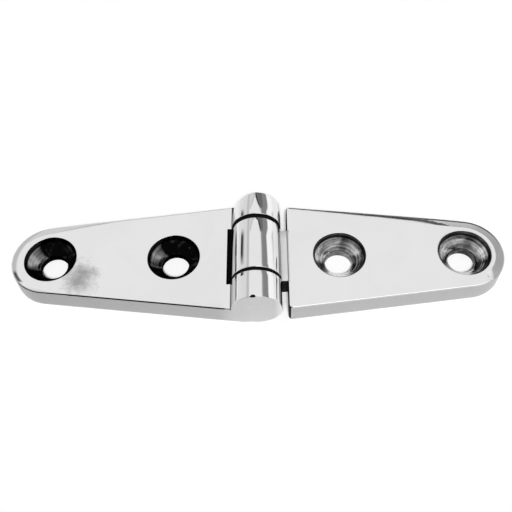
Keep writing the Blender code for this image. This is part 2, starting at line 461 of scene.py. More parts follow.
def swept(name, outline, low, high, edge_low, edge_high, steps=8, spans=6, crown=None):
    """A side outline of (point, normal) pairs drawn out along Y, its ends rounded by a radius for each point.

    crown gives each point's extra inset for a place along Y, so that a knuckle can be slightly domed.
    """
    build = Builder()
    crown = crown or (lambda y, angle: 0.0)

    def ring(places, insets):
        points = []
        for (point, normal), y, inset in zip(outline, places, insets):
            inset += crown(y, math.atan2(normal[1], normal[0]))
            points.append((point[0] - normal[0] * inset, y, point[1] - normal[1] * inset))
        return build.ring(points)

    def end_rings(end, inward, edges):
        rings = []
        for a in arc_angles(0.0, math.pi / 2, steps):
            places = [end + inward * edge * (1 - math.cos(a)) for edge in edges]
            rings.append(ring(places, [edge * (1 - math.sin(a)) for edge in edges]))
        return rings

    rings = end_rings(low, 1, edge_low)
    for i in range(1, spans):
        share = i / spans
        starts_ends = [(low + edge_a, high - edge_b) for edge_a, edge_b in zip(edge_low, edge_high)]
        places = [start + (end - start) * share for start, end in starts_ends]
        rings.append(ring(places, [0.0] * len(outline)))
    rings.extend(reversed(end_rings(high, -1, edge_high)))
    for first, second in zip(rings, rings[1:]):
        build.band(first, second)
    build.cap(rings[0])
    build.cap(rings[-1])
    mesh = build.mesh(name)
    mesh_edit(mesh, outward)
    return linked(name, mesh)


def far_end_radii(outline):
    """The far end's rounding: slight below, small round the top and full on the shoulder beside the leaf."""
    radii = []
    for _, normal in outline:
        angle = math.degrees(math.atan2(normal[1], normal[0])) % 360
        if angle > FOOT_SIDE:
            radii.append(EDGE_BOTTOM + (FAR_END_EDGE - EDGE_BOTTOM) * eased(angle, *FOOT_TURNS))
        else:
            radii.append(FAR_END_EDGE + (FAR_END_SHOULDER - FAR_END_EDGE) * eased(angle, *SHOULDER_TURNS))
    return radii


def far_crown(y, angle):
    """The far knuckle falls away slightly towards its end, but not along its foot."""
    share = max(0.0, (y - OUTER_START) / (BARREL_HALF - OUTER_START))
    past_foot = (math.degrees(angle) - CROWN_TURNS[0]) % 360
    return FAR_CROWN * share**3 * smooth_step(past_foot / (CROWN_TURNS[1] - CROWN_TURNS[0]))


def make_left_leaf():
    corners = left_corners()
    holes = [-x for x in HOLE_X]
    leaf = leaf_plate("left_leaf_cast", corners, LEFT_EDGE_STEPS, holes, LEFT_TIP_DROP, LEFT_SLOPE)
    boolean(leaf, cylinder("recess", RECESS_RADIUS, -OUTER_START, OUTER_START, RECESS_STEPS), "DIFFERENCE")
    outline = barrel_outline()
    inner = [INNER_EDGE] * len(outline)
    near = [NEAR_END_EDGE] * len(outline)
    far = far_end_radii(outline)
    near_knuckle = swept("near_knuckle", outline, -BARREL_HALF, -OUTER_START, near, inner)
    finer = {"steps": 16, "spans": 24, "crown": far_crown}
    far_knuckle = swept("far_knuckle", outline, OUTER_START, BARREL_HALF, inner, far, **finer)
    boolean(leaf, near_knuckle, "UNION")
    boolean(leaf, far_knuckle, "UNION")
    bore = cylinder("bore", PIN_RADIUS + BORE_CLEARANCE, BLIND_END, BARREL_HALF + OVERRUN, BORE_STEPS)
    boolean(leaf, bore, "DIFFERENCE")
    half_circle = [(math.sin(a), math.cos(a)) for a in arc_angles(0.0, math.pi, NICK_STEPS // 2)]
    ball = turned("nick", half_circle, NICK_STEPS)
    ball.data.transform(Matrix.Translation(NICK_PLACE) @ Matrix.Diagonal((*NICK_SIZE, 1.0)))
    boolean(leaf, ball, "DIFFERENCE")
    return leaf


def web_outline():
    """The web from the side: its top falls away from the leaf to the knuckle."""
    top = []
    start, end = (WEB_LEAF_X, WEB_LEAF_TOP), (WEB_KNUCKLE_X, WEB_KNUCKLE_TOP)
    for i in range(WEB_STEPS + 1):
        share = i / WEB_STEPS
        x = start[0] + (end[0] - start[0]) * share
        z = start[1] + (end[1] - start[1]) * smooth_step(share)
        top.append((x, z))
    low = [(WEB_INNER_X, WEB_BOTTOM), (WEB_OUTER_X, WEB_BOTTOM), (WEB_OUTER_X, WEB_LEAF_TOP)]
    points = [*low, *top, (WEB_INNER_X, WEB_KNUCKLE_TOP)]
    outline = []
    for number, point in enumerate(points):
        before, after = points[number - 1], points[(number + 1) % len(points)]
        along = Vector((after[0] - before[0], after[1] - before[1])).normalized()
        outline.append((point, (along.y, -along.x)))
    return outline


def make_right_leaf():
    corners = right_corners()
    leaf = leaf_plate("right_leaf_cast", corners, RIGHT_EDGE_STEPS, HOLE_X, RIGHT_TIP_DROP, RIGHT_SLOPE)
    web = web_outline()
    rounding = [WEB_EDGE] * len(web)
    boolean(leaf, swept("web", web, WEB_NEAR, WEB_FAR, rounding, rounding, steps=3), "UNION")

    # The middle knuckle is slightly narrower towards its far end
    profile = []
    ends = rounded_rod_profile(BARREL_RADIUS, -MIDDLE_HALF, MIDDLE_HALF, MIDDLE_NEAR_EDGE, MIDDLE_FAR_EDGE)
    half = len(ends) // 2
    between = [(BARREL_RADIUS, MIDDLE_HALF * (1 - 0.1 * i) - MIDDLE_FAR_EDGE) for i in range(1, 19)]
    for radius, y in ends[:half] + between + ends[half:]:
        share = max(0.0, (y + MIDDLE_HALF) / (2 * MIDDLE_HALF))
        profile.append((max(radius - MIDDLE_CROWN * share**MIDDLE_CROWN_POWER, 0.0), y))
    boolean(leaf, turned("middle_knuckle", profile, BARREL_STEPS, ALONG_Y), "UNION")
    reach = MIDDLE_HALF + OVERRUN
    boolean(leaf, cylinder("bore", PIN_RADIUS + RUNNING_CLEARANCE, -reach, reach, BORE_STEPS), "DIFFERENCE")
    return leaf


def make_pin():
    profile = rounded_rod_profile(PIN_RADIUS, PIN_LOW.y, PIN_HIGH.y, PIN_NEAR_EDGE, PIN_FAR_EDGE)
    return turned("hinge_pin_ground", profile, PIN_STEPS, ALONG_Y)


def make_washer(name, low, high):
    inner = PIN_RADIUS + WASHER_PLAY
    profile = [
        (inner, high),
        (WASHER_RADIUS - WASHER_EDGE, high),
        (WASHER_RADIUS, high - WASHER_EDGE),
        (WASHER_RADIUS, low + WASHER_EDGE),
        (WASHER_RADIUS - WASHER_EDGE, low),
        (inner, low),
    ]
    return turned(name, profile, WASHER_STEPS, ALONG_Y)


# ---------------------------------------------------------------- finishes on the leaves


# The finishes in each leaf's list; the fourth is near-black painted shade
POLISHED, MACHINED, SATIN, PAINTED_SHADE, RIM = range(5)

# Where one finish gives way to another
ON_FACE = 0.02 * MM
SINK_SPAN = SINK_RADIUS + 0.5 * SINK_RIM
BORE_SPAN = 2.7 * MM
LEAF_START = 5.3 * MM
RIM_START = HOLE_X[1] - 10.0 * MM
RIM_LOW = THICKNESS - RIGHT_TIP_DROP - 0.03 * MM
RIM_SLOPES = (0.95, math.cos(math.radians(4)))
KNUCKLE_SPAN = 5.25 * MM
SHELL_SPAN = 5.22 * MM
RECESS_SPAN = RECESS_RADIUS + 0.13 * MM
NICK_SPAN = 5.17 * MM
NICK_SPAN_X = (-1.4 * MM, 0.0)
NICK_SPAN_Y = (-BARREL_HALF + 0.01 * MM, -BARREL_HALF + 0.6 * MM)
NICK_LOW = 9.9 * MM
FLANK_Y = 12.5 * MM
WEB_SPAN_X = (WEB_INNER_X + 0.001 * MM, 6.9 * MM)
WEB_SPAN_Y = 6.6 * MM
WEB_TOP = 4.88 * MM
WEB_SIDE_TOP = 4.85 * MM
LEAF_END_X = (6.4 * MM, 7.5 * MM)


def sort_surfaces(obj, finishes, rule):
    """Gives each face the finish that a rule picks from its middle and its direction."""
    obj.data.materials.clear()
    for finish in finishes:
        obj.data.materials.append(finish)
    for face in obj.data.polygons:
        face.material_index = rule(face.center, face.normal)


def from_axis(middle):
    return math.hypot(middle.x, middle.z - AXIS_HEIGHT)


def common_finish(middle, facing):
    """Finishes that both leaves share; the polish is on the top and round its edge."""
    for x in HOLE_X:
        in_hole = math.hypot(abs(middle.x) - x, middle.y) < SINK_SPAN
        if in_hole and facing.z < 0.9 and middle.z > 0.5 * ON_FACE:
            return MACHINED
    # Painted shade: the bore's walls are near black
    if from_axis(middle) < BORE_SPAN and abs(facing.y) < 0.5:
        return PAINTED_SHADE
    if facing.z < -0.5:
        return SATIN
    on_roll = middle.z > RIM_LOW and RIM_SLOPES[0] < facing.z < RIM_SLOPES[1]
    if on_roll and middle.x > RIM_START:
        return RIM
    if abs(middle.x) > LEAF_START and middle.z < WALL_TOP:
        return SATIN
    return POLISHED


def left_finish(middle, facing):
    gap_side = abs(abs(middle.y) - OUTER_START) < ON_FACE and abs(facing.y) > 0.7
    in_recess = abs(middle.y) < OUTER_START and middle.x < 0 and from_axis(middle) < RECESS_SPAN
    beside_nick = NICK_SPAN_X[0] < middle.x < NICK_SPAN_X[1] and NICK_SPAN_Y[0] < middle.y < NICK_SPAN_Y[1]
    in_nick = beside_nick and middle.z > NICK_LOW and from_axis(middle) < NICK_SPAN
    # Painted shade: the gap sides, the nick and the recess are near black
    if gap_side or in_nick or (in_recess and facing.z < 0.99):
        return PAINTED_SHADE
    outer_end = abs(middle.y) > BARREL_HALF - ON_FACE
    leaf_flank = abs(middle.y) > FLANK_Y and middle.z < WALL_TOP
    return SATIN if (outer_end or leaf_flank) and abs(facing.y) > 0.8 else common_finish(middle, facing)


def right_finish(middle, facing):
    in_web = abs(middle.y) < WEB_SPAN_Y and WEB_SPAN_X[0] < middle.x < WEB_SPAN_X[1]
    if in_web and facing.z > 0.3 and middle.z < WEB_TOP:
        return SATIN
    web_side = in_web and middle.z < WEB_SIDE_TOP and from_axis(middle) > SHELL_SPAN
    at_leaf_end = LEAF_END_X[0] < middle.x < LEAF_END_X[1] and facing.x < -0.3
    knuckle_end = from_axis(middle) < KNUCKLE_SPAN and abs(facing.y) > 0.8
    # Painted shade: the web's sides, the knuckle's ends and the leaf's root end are near black
    if web_side or knuckle_end or (at_leaf_end and middle.z < THICKNESS - 0.1 * EDGE_TOP):
        return PAINTED_SHADE
    return common_finish(middle, facing)


STEEL_SHARP = math.radians(38)
NYLON_SHARP = math.radians(30)
LEVEL_FACE = 0.99999
LEVEL_CORNER = 0.8
FLAT_PLANES = [(2, THICKNESS, 1), (2, 0.0, -1), (1, -BARREL_HALF, -1), (1, BARREL_HALF, 1)]


def finish_shading(obj, angle, flat_planes=()):
    """Smooth shading with sharp edges kept, and exactly level normals where a flat face meets a rounded one.

    A flat plane is (axis, place, direction).
    """
    mesh = obj.data
    mesh_edit(mesh, lambda edited: bmesh.ops.remove_doubles(edited, verts=edited.verts, dist=TINY))
    mesh.shade_smooth()
    mesh.set_sharp_from_angle(angle=angle)
    corner_count = len(mesh.loops)
    corner_normals = np.zeros(corner_count * 3, np.float32)
    mesh.corner_normals.foreach_get("vector", corner_normals)
    corner_normals = corner_normals.reshape(-1, 3)
    corner_vertex = np.zeros(corner_count, np.int32)
    mesh.loops.foreach_get("vertex_index", corner_vertex)
    points = np.zeros(len(mesh.vertices) * 3, np.float32)
    mesh.vertices.foreach_get("co", points)
    points = points.reshape(-1, 3)
    for axis, place, sign in flat_planes:
        wanted = np.zeros(3, np.float32)
        wanted[axis] = sign
        on_plane = np.abs(points[:, axis] - place) < 2 * TINY
        flat_vertex = np.zeros(len(points), bool)
        for face in mesh.polygons:
            if face.normal[axis] * sign > LEVEL_FACE:
                flat_vertex[list(face.vertices)] = True
        chosen = (on_plane & flat_vertex)[corner_vertex] & (corner_normals @ wanted > LEVEL_CORNER)
        corner_normals[chosen] = wanted
    mesh.normals_split_custom_set(corner_normals.tolist())


# ---------------------------------------------------------------- node helpers


class Nodes:
    """Short calls for building a node tree."""

    def __init__(self, tree):
        self.tree = tree

    def add(self, kind, settings=None, inputs=None):
        node = self.tree.nodes.new(kind)
        for key, value in (settings or {}).items():
            setattr(node, key, value)
        for key, value in (inputs or {}).items():
            if isinstance(value, bpy.types.NodeSocket):
                self.tree.links.new(value, node.inputs[key])
            else:
                node.inputs[key].default_value = value
        return node

    def math(self, operation, first, second=0.0):
        return self.add("ShaderNodeMath", {"operation": operation}, {0: first, 1: second}).outputs[0]

    def product(self, first, *others):
        for other in others:
            first = self.math("MULTIPLY", first, other)
        return first

    def total(self, first, *others):
        for other in others:
            first = self.math("ADD", first, other)
        return first

    def rest(self, share):
        return self.math("SUBTRACT", 1.0, share)

    def distance(self, first, second):
        return self.math("SQRT", self.total(self.product(first, first), self.product(second, second)))

    def ranged(self, value, low, high, to_low, to_high, kind="LINEAR"):
        """Turns values from low to high into values from to_low to to_high, and holds them beyond."""
        settings = {"clamp": True, "interpolation_type": kind}
        values = {"Value": value, "From Min": low, "From Max": high, "To Min": to_low, "To Max": to_high}
        return self.add("ShaderNodeMapRange", settings, values).outputs["Result"]

    def window(self, value, opens, closes):
        """1 within a stretch and 0 outside it; it opens and closes over two spans."""
        return self.product(self.ranged(value, *opens, 0.0, 1.0), self.ranged(value, *closes, 1.0, 0.0))

    def parts(self, coordinates):
        """X, Y and Z of one of the texture coordinates."""
        source = self.add("ShaderNodeTexCoord").outputs[coordinates]
        split = self.add("ShaderNodeSeparateXYZ", None, {"Vector": source})
        return [split.outputs[key] for key in "XYZ"]

    def stepped(self, value, stops):
        """A grey for a value, from (value, grey) stops."""
        first, last = stops[0][0], stops[-1][0]
        ramp = self.add("ShaderNodeValToRGB", None, {"Fac": self.ranged(value, first, last, 0.0, 1.0)})
        elements = ramp.color_ramp.elements
        elements.remove(elements[-1])
        for number, (place, level) in enumerate(stops):
            position = (place - first) / (last - first)
            element = elements[0] if number == 0 else elements.new(position)
            element.position = position
            element.color = (level, level, level, 1.0)
        return ramp.outputs["Color"]

    def blend(self, factor, first, second):
        inputs = {"Factor": factor, 6: first, 7: second}
        return self.add("ShaderNodeMix", {"data_type": "RGBA"}, inputs).outputs[2]


class Finish(Nodes):
    """The nodes of one material; values that are the same all over go straight onto its shader."""

    def __init__(self, name, values):
        self.material = bpy.data.materials.new(name)
        self.material.use_nodes = True
        super().__init__(self.material.node_tree)
        self.shader = self.tree.nodes["Principled BSDF"]
        for socket, value in values.items():
            self.shader.inputs[socket].default_value = value

    def connect(self, socket, value):
        self.tree.links.new(value, self.shader.inputs[socket])

    def place(self, scale=(1.0, 1.0, 1.0)):
        source = self.add("ShaderNodeTexCoord").outputs["Object"]
        return self.add("ShaderNodeMapping", None, {"Vector": source, "Scale": scale}).outputs["Vector"]

    def noise(self, place, scale, detail=2.0, roughness=0.5, distortion=0.0):
        values = {"Vector": place, "Scale": scale, "Detail": detail}
        values.update({"Roughness": roughness, "Distortion": distortion})
        return self.add("ShaderNodeTexNoise", None, values).outputs["Fac"]

    def grey(self, value, dark, light):
        ramp = self.add("ShaderNodeValToRGB", None, {"Fac": value})
        for element, level in zip(ramp.color_ramp.elements, (dark, light)):
            element.color = (level, level, level, 1.0)
        return ramp.outputs["Color"]

    def bump(self, height, strength, distance, normal=None):
        values = {"Height": height, "Strength": strength, "Distance": distance}
        if normal is not None:
            values["Normal"] = normal
        return self.add("ShaderNodeBump", None, values).outputs["Normal"]


# ---------------------------------------------------------------- polished steel


# The left leaf's painted dark reflection in a cloudy patch, and painted shade at its near root
DARK_PATCH_PLACE = (-36.8 * MM, -4.9 * MM)
DARK_PATCH_SIZE = (3.3 * MM, 4.0 * MM)
ROOT_SHADE = (-11.5 * MM, -7.5 * MM, 0.86, 1.0)
ROOT_SHADE_ENDS = (-7.5 * MM, -6.5 * MM)

DASH_RADII = ((7.3 * MM, 7.6 * MM), (7.9 * MM, 8.2 * MM))
DASH_ALONG = ((-5.8 * MM, -5.2 * MM), (-3.4 * MM, -2.6 * MM))
DASH_BEYOND = (-4.0 * MM, -3.0 * MM, 0.85, 0.0)

# Where painted dark reflections run as thin lines along two of the leaves' top edges
NEAR_LINE_FACING = (-0.32, -0.12, 0.97, 0.0)
NEAR_LINE_ALONG = (-6.0 * MM, -5.5 * MM)
NEAR_LINE_ACROSS = (-6.7 * MM, -6.2 * MM)
FAR_LINE_FACING = (0.16, 0.34, 0.0, 0.97)
FAR_LINE_ALONG = (3.5 * MM, 6.0 * MM)
FAR_LINE_ACROSS = (9.0 * MM, 20.0 * MM)

# Painted shade in a band low on the barrel, where it meets the leaves
FOOT_BAND = ((4.3 * MM, 4.7 * MM), (5.3 * MM, 5.5 * MM))
FOOT_TOP = (6.4 * MM, 7.3 * MM)
# The colour of the painted dark reflections and painted shade on the polished steel
PAINTED_DARK_COLOUR = (0.012, 0.012, 0.012, 1.0)


def left_painted_darkening(nodes, across, along):
    """Painted darkening: a reflection in a cloudy patch by the left outer hole, and a little shade at its
    near root.
    """
    place = nodes.place()
    off_x = nodes.math("DIVIDE", nodes.math("SUBTRACT", across, DARK_PATCH_PLACE[0]), DARK_PATCH_SIZE[0])
    off_y = nodes.math("DIVIDE", nodes.math("SUBTRACT", along, DARK_PATCH_PLACE[1]), DARK_PATCH_SIZE[1])
    ragged = nodes.ranged(nodes.noise(place, 420.0, 4.0, 0.65), 0.3, 0.7, -0.45, 0.45)
    patch = nodes.ranged(nodes.total(nodes.distance(off_x, off_y), ragged), 0.2, 1.35, 0.46, 1.0)
    wave = nodes.product(nodes.noise(place, 60.0), 4.0 * MM)
    slant = nodes.total(along, nodes.product(across, math.tan(LEAN)), wave)
    root = nodes.ranged(slant, *ROOT_SHADE)
    left = nodes.ranged(across, *ROOT_SHADE_ENDS, 1.0, 0.0)
    return nodes.product(patch, nodes.total(nodes.product(root, left), nodes.rest(left)))


def tip_dash(nodes, across, along):
    """Where a short dark reflection runs along the near side of the left tip's edge."""
    off = nodes.total(across, HOLE_X[1])
    width = nodes.window(nodes.distance(off, along), *DASH_RADII)
    length = nodes.window(along, *DASH_ALONG)
    return nodes.product(nodes.ranged(off, *DASH_BEYOND), nodes.product(width, length))


def edge_dark_reflections(nodes, across, along):
    """Painted dark reflections in thin lines along the left leaf's near top edge and the right leaf's far
    one.
    """
    facing = nodes.parts("Normal")[1]
    near = nodes.product(
        nodes.ranged(facing, *NEAR_LINE_FACING),
        nodes.ranged(along, *NEAR_LINE_ALONG, 1.0, 0.0),
        nodes.ranged(across, *NEAR_LINE_ACROSS, 1.0, 0.0),
    )
    far = nodes.product(
        nodes.ranged(facing, *FAR_LINE_FACING),
        nodes.ranged(along, *FAR_LINE_ALONG, 0.0, 1.0),
        nodes.ranged(across, *FAR_LINE_ACROSS, 0.0, 1.0),
    )
    return nodes.math("MAXIMUM", near, far)


def barrel_foot_shade(nodes, across, up):
    """The painted shade in a dark band low on the barrel, where it meets the leaves."""
    beside = nodes.window(nodes.math("ABSOLUTE", across), *FOOT_BAND)
    return nodes.product(beside, nodes.ranged(up, *FOOT_TOP, 1.0, 0.0))


def polished_steel():
    """Mirror-polished casting with faint waves, hairline scratches and the painted reflections and shade
    above.
    """
    nodes = Finish("polished_cast_steel", {"Metallic": 1.0})
    place = nodes.place()
    across, along, up = nodes.parts("Object")
    smudges = nodes.noise(place, 90.0, 4.0, 0.6, 0.6)
    scratches = nodes.noise(nodes.place((400.0, 5200.0, 5200.0)), 1.0)
    waves = nodes.noise(place, 170.0, 1.0, 0.4)
    grain = nodes.noise(place, 2600.0, 3.0, 0.6)
    steel = nodes.grey(nodes.ranged(smudges, 0.35, 0.75, 0.0, 1.0), 0.77, 0.805)
    # Painted dark reflections and painted shade darken the steel's grey
    steel = nodes.product(steel, left_painted_darkening(nodes, across, along))
    lines = nodes.math("MAXIMUM", tip_dash(nodes, across, along), edge_dark_reflections(nodes, across, along))
    lines = nodes.math("MAXIMUM", barrel_foot_shade(nodes, across, up), lines)
    nodes.connect("Base Color", nodes.blend(lines, steel, PAINTED_DARK_COLOUR))
    scratched = nodes.ranged(scratches, 0.6, 0.8, 0.0, 0.05)
    nodes.connect("Roughness", nodes.total(nodes.ranged(smudges, 0.45, 0.8, 0.05, 0.11), scratched))
    normal = nodes.bump(waves, 1.0, 0.02 * MM)
    normal = nodes.bump(scratches, 0.10, 0.0012 * MM, normal)
    nodes.connect("Normal", nodes.bump(grain, 0.12, 0.0016 * MM, normal))
    return nodes.material


# ---------------------------------------------------------------- countersinks


LIP_SHADE = (CONE_TOP - 0.42 * MM, CONE_TOP - 0.28 * MM, 1.0, 0.05)
LIP_BARE = (CONE_TOP + 0.02 * MM, CONE_TOP + 0.1 * MM, 1.0, 0.0)
CONE_FOOT = (BORE_TOP - 0.05 * MM, BORE_TOP + 0.05 * MM)
RING_SCALE = (3200.0, 60.0, 0.0)
RING_WOBBLE = 0.12 * MM


def turned_marks(nodes, across, along, place):
    """Noise drawn out into rings round each hole."""
    middle, apart = (HOLE_X[0] + HOLE_X[1]) / 2, (HOLE_X[1] - HOLE_X[0]) / 2
    off = nodes.math("SUBTRACT", nodes.math("ABSOLUTE", across), middle)
    off = nodes.math("SUBTRACT", nodes.math("ABSOLUTE", off), apart)
    wobble = nodes.product(nodes.noise(place, 420.0), RING_WOBBLE)
    radius = nodes.total(nodes.distance(off, along), wobble)
    flat = nodes.add("ShaderNodeCombineXYZ", None, {"X": radius, "Y": across}).outputs["Vector"]
    scaled = nodes.add("ShaderNodeVectorMath", {"operation": "MULTIPLY"}, {0: flat, 1: RING_SCALE})
    return nodes.noise(scaled.outputs["Vector"], 1.0, 2.0, 0.6)


def machined_steel(name, dark):
    """The turned finish of the countersinks: fine rings round each hole, with painted shade in the lip and
    the bore.
    """
    nodes = Finish(name, {"Specular IOR Level": 0.0 if dark else 0.1})
    place = nodes.place()
    across, along, up = nodes.parts("Object")
    facing_x, facing_y, _ = nodes.parts("Normal")
    rings = turned_marks(nodes, across, along, place)
    blotches = nodes.noise(place, 380.0, 3.0, 0.6, 0.8)
    mixed = nodes.total(nodes.product(rings, 0.55), nodes.product(blotches, 0.45))
    texture = nodes.ranged(mixed, 0.38, 0.62, 0.0, 1.0)
    in_cone = nodes.ranged(up, *CONE_FOOT, 0.0, 1.0)
    bare = nodes.product(nodes.ranged(up, *LIP_BARE), in_cone)
    if dark:
        # Painted shade, nearly black, but for one painted reflection patch on the side away from the barrel
        lit_patch = nodes.product(
            nodes.ranged(facing_x, 0.45, 0.62, 0.0, 1.0),
            nodes.ranged(facing_y, 0.1, 0.25, 1.0, 0.0),
        )
        base = nodes.product(lit_patch, nodes.ranged(texture, 0.0, 1.0, 0.10, 0.40))
        base = nodes.total(base, nodes.ranged(blotches, 0.55, 0.75, 0.002, 0.05))
        bore_share = 0.01
        metallic = nodes.product(bare, lit_patch)
    else:
        # Streaked rings, shaded on the near side but for its middle
        shaded = nodes.ranged(facing_y, 0.0, 0.18, 1.0, 0.1)
        shaded = nodes.math("MAXIMUM", shaded, nodes.ranged(facing_y, 0.5, 0.6, 0.0, 1.0))
        base = nodes.product(shaded, nodes.ranged(texture, 0.0, 1.0, 0.10, 1.0))
        streaks = nodes.product(
            nodes.ranged(rings, 0.56, 0.64, 0.0, 1.0),
            nodes.ranged(blotches, 0.5, 0.56, 0.0, 1.0),
        )
        base = nodes.total(base, nodes.product(streaks, 0.7))
        bore_share = 0.3
        metallic = nodes.math("MAXIMUM", bare, 0.5)
    # Painted shade darkens the lip, the upper cone and the bore
    below_lip = nodes.ranged(up, *LIP_SHADE)
    base = nodes.product(base, below_lip, nodes.ranged(in_cone, 0.0, 1.0, bore_share, 1.0))
    nodes.connect("Base Color", nodes.grey(base, 0.0, 1.0))
    nodes.connect("Metallic", metallic)
    nodes.connect("Roughness", nodes.ranged(rings, 0.3, 0.7, 0.14, 0.30))
    nodes.connect("Normal", nodes.bump(rings, 0.6, 0.012 * MM))
    return nodes.material


# ---------------------------------------------------------------- other finishes


# Painted light and shade on the satin faces by X: darker towards the left end, lightest just right of the
# barrel
SATIN_PAINTED_LIGHT = [
    (-HALF_LENGTH, 0.38),
    (-0.15 * HALF_LENGTH, 0.44),
    (-BARREL_RADIUS, 0.56),
    (0.7 * BARREL_RADIUS, 0.58),
    (BARREL_RADIUS, 0.82),
    (BARREL_RADIUS + 1.5 * MM, 0.82),
    (BARREL_RADIUS + 1.9 * MM, 0.48),
    (HALF_LENGTH, 0.48),
]


def satin_steel():
    """The leaves' edges and the barrel's ends: ground, not polished, with painted light and shade along X."""
    nodes = Finish("satin_steel", {"Metallic": 1.0})
    place = nodes.place()
    speckle = nodes.noise(place, 3000.0, 3.0, 0.6)
    patches = nodes.noise(place, 260.0, 3.0, 0.6)
    both = nodes.total(nodes.product(speckle, 0.5), nodes.product(patches, 0.5))
    painted_tone = nodes.stepped(nodes.parts("Object")[0], SATIN_PAINTED_LIGHT)
    nodes.connect("Base Color", nodes.product(painted_tone, nodes.ranged(both, 0.35, 0.65, 0.93, 1.07)))
    nodes.connect("Roughness", nodes.ranged(patches, 0.3, 0.7, 0.32, 0.42))
    nodes.connect("Normal", nodes.bump(speckle, 0.25, 0.01 * MM))
    return nodes.material


# Greys of the painted reflection round the right tip, along Y
RIM_PAINTED_GREYS = [
    (-TIP_RADIUS, 0.44),
    (-0.5 * TIP_RADIUS, 0.42),
    (0.1 * TIP_RADIUS, 0.40),
    (0.7 * TIP_RADIUS, 0.50),
    (1.05 * TIP_RADIUS, 0.72),
]
# Where a painted dark reflection runs as a line near the tip's far edge
RIM_DARK_REFLECTION = (TIP_RADIUS - 0.6 * MM, TIP_RADIUS - 0.42 * MM, 0.0, 0.95)
RIM_DARK_REFLECTION_ALONG = (1.5 * MM, 5.0 * MM, 0.0, 1.0)
RIM_CLEAR_ACROSS = (4.6 * MM, 5.2 * MM, 1.0, 0.0)
RIM_CLEAR_ALONG = (-3.9 * MM, -3.4 * MM, 1.0, 0.0)
RIM_CLEAR_TONE = 0.85


def rim_painted_reflection():
    """Finely ground roll-off round the right tip: a painted grey reflection, a painted dark line near its far
    edge.
    """
    nodes = Finish("rim_painted_reflection", {"Metallic": 0.35, "Roughness": 0.35})
    place = nodes.place()
    across, along, _ = nodes.parts("Object")
    mottle = nodes.noise(place, 260.0)
    painted_tone = nodes.product(nodes.stepped(along, RIM_PAINTED_GREYS), nodes.ranged(mottle, 0.35, 0.65, 0.93, 1.07))

    # How far out from the leaf's middle: round the hole past it, and square to the far edge before it
    off = nodes.math("SUBTRACT", across, HOLE_X[1])
    past = nodes.ranged(off, -ON_FACE, ON_FACE, 0.0, 1.0)
    straight = nodes.total(nodes.product(off, -math.sin(LEAN)), nodes.product(along, math.cos(LEAN)))
    rounded = nodes.distance(off, along)
    reach = nodes.total(nodes.product(straight, nodes.rest(past)), nodes.product(rounded, past))
    line = nodes.product(nodes.ranged(reach, *RIM_DARK_REFLECTION), nodes.ranged(along, *RIM_DARK_REFLECTION_ALONG))

    # The painted grey reflection stops at a straight edge on the near side
    clear = nodes.product(nodes.ranged(off, *RIM_CLEAR_ACROSS), nodes.ranged(along, *RIM_CLEAR_ALONG))
    painted_tone = nodes.total(nodes.product(painted_tone, nodes.rest(clear)), nodes.product(clear, RIM_CLEAR_TONE))
    nodes.connect("Base Color", nodes.product(painted_tone, nodes.rest(line)))
    nodes.connect("Normal", nodes.bump(nodes.noise(place, 2600.0, 3.0, 0.6), 0.2, 0.0016 * MM))
    return nodes.material


def grained(name, values, scale, greys, roughness, relief, stretch=(1.0, 1.0, 1.0)):
    """A plain finish whose one fine grain sets its grey, its roughness and its relief (strength, depth)."""
    nodes = Finish(name, values)
    grain = nodes.noise(nodes.place(stretch), scale, 3.0, 0.6)
    nodes.connect("Base Color", nodes.grey(grain, *greys))
    nodes.connect("Roughness", nodes.ranged(grain, 0.3, 0.7, *roughness))
    nodes.connect("Normal", nodes.bump(grain, *relief))
    return nodes.material


def joint_painted_shade():
    """Near-black painted shade on the faces inside the joint."""
    dull = {"Specular IOR Level": 0.08}
    return grained("joint_painted_shade", dull, 2400.0, (0.003, 0.010), (0.5, 0.7), (0.4, 0.02 * MM))


def black_nylon():
    dull = {"Specular IOR Level": 0.08}
    return grained("black_nylon", dull, 4200.0, (0.003, 0.009), (0.45, 0.65), (0.3, 0.01 * MM))


def ground_steel():
    """The pin: ground, with fine drawn-out marks."""
    steel = {"Metallic": 1.0}
    stretch = (3000.0, 3000.0, 60000.0)
    return grained("ground_pin_steel", steel, 1.0, (0.58, 0.70), (0.2, 0.36), (0.4, 0.01 * MM), stretch)


def pale_floor():
    nodes = Finish("pale_floor", {"Specular IOR Level": 0.0, "Roughness": 0.9})
    nodes.connect("Base Color", nodes.grey(nodes.noise(nodes.place(), 8.0, 3.0), 0.95, 0.965))
    return nodes.material


# ---------------------------------------------------------------- stage


CAMERA_ELEVATION = math.radians(56.43)
CAMERA_AZIMUTH = math.radians(1.92)
CAMERA_ROLL = math.radians(-2.52)
CAMERA_DISTANCE = 160.0 * MM
CAMERA_TARGET = Vector((-0.20 * MM, 3.15 * MM, 0.0))
CAMERA_LENS = 51.39
SENSOR_WIDTH = 36.0
CLIP_START, CLIP_END = 5.0 * MM, 50.0

KEY_STRENGTH = 3.35
KEY_SOFTNESS = math.radians(16)
FLOOR_HALF = 4.0
FLOOR_DROP = 0.02 * MM

